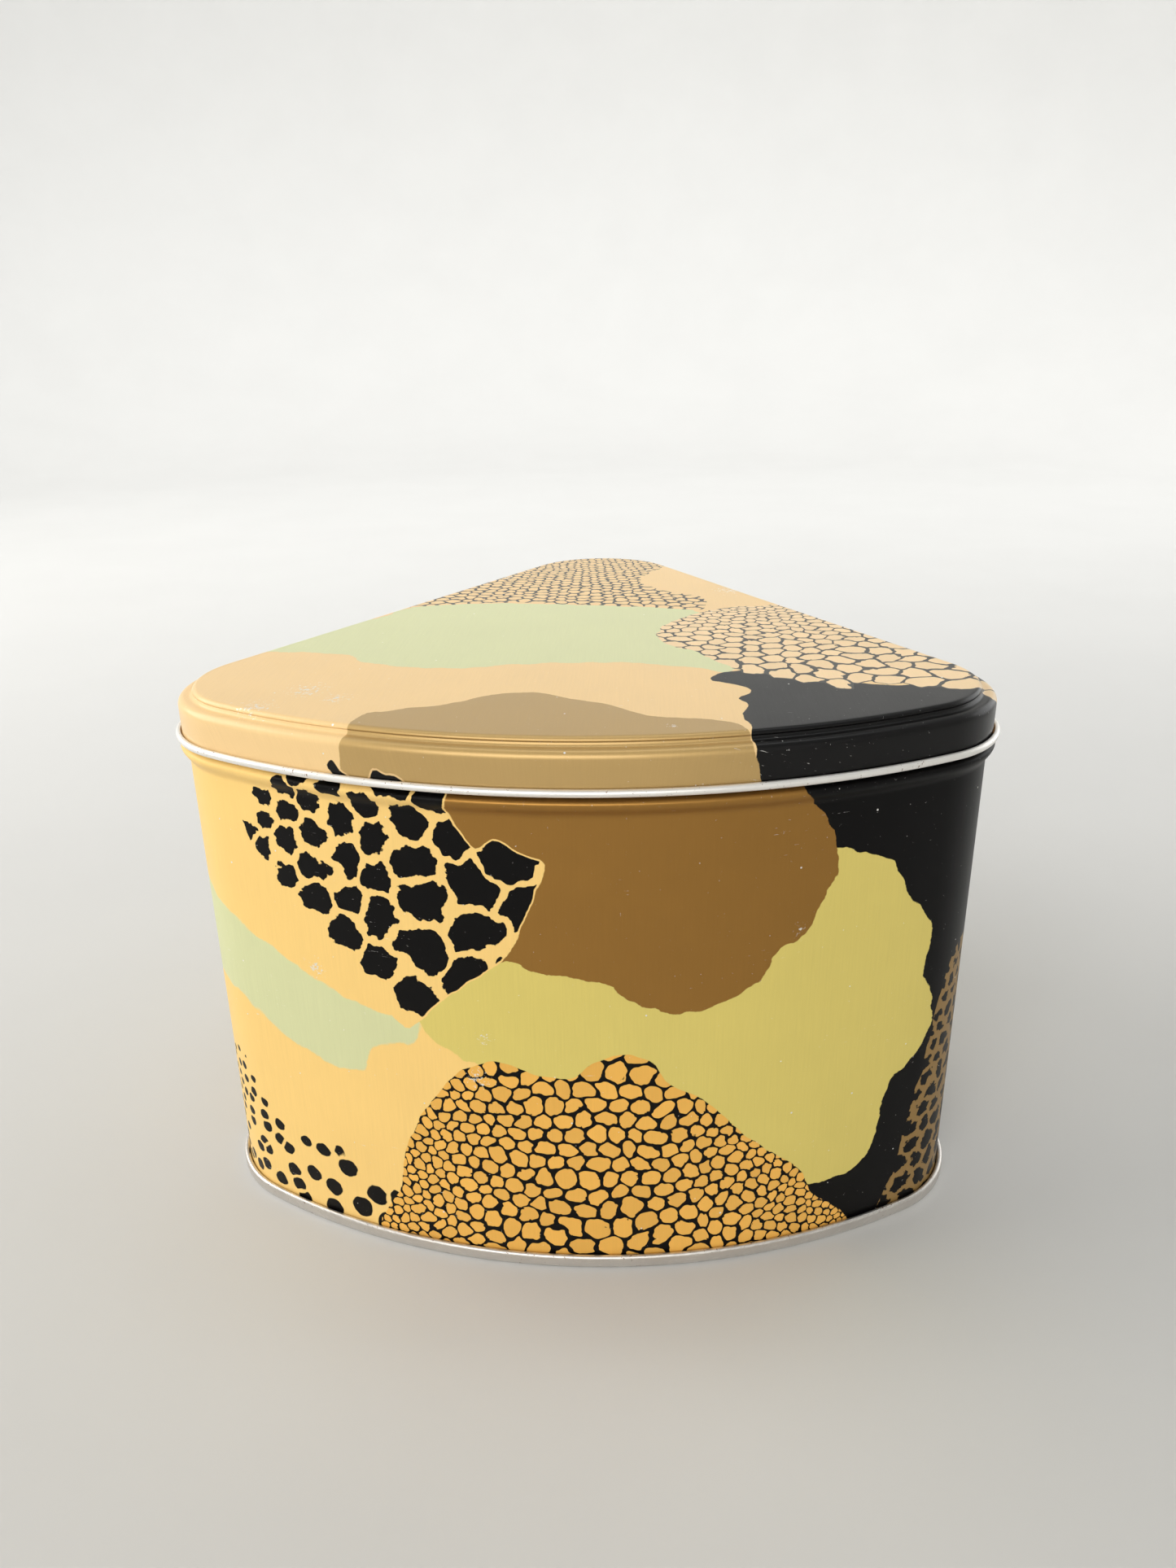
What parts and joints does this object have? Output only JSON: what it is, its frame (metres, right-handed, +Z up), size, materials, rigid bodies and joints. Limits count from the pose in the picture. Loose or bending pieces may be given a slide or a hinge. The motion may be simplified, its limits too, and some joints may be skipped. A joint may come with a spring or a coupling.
{
  "type": "cookie tin",
  "caption": "Printed sheet-metal cookie tin with a rounded wedge plan, a lift-off lid with a raised panel and curled edge, and a seamed-on bottom end.",
  "frame": {"origin": "middle of the bounding box at its bottom, on the surface that the tin stands on", "axes": "+Z up, the curved front towards -Y, the rear corner towards +Y, +X to the right seen from the front"},
  "size_m": [0.1918, 0.1918, 0.1338],
  "materials": {
    "lid_print": "satin printed tinplate",
    "wall_print": "satin printed tinplate",
    "tinplate": "bare tinplate"
  },
  "bodies": {
    "body": {"body_wall": "wall_print", "bottom_end": "tinplate"},
    "lid": {"lid": "lid_print"}
  },
  "joints": [
    {"name": "lid_lift", "type": "slide", "parent": "body", "child": "lid", "axis": [0, 0, 1], "range_m": [0, 0.15]}
  ]
}
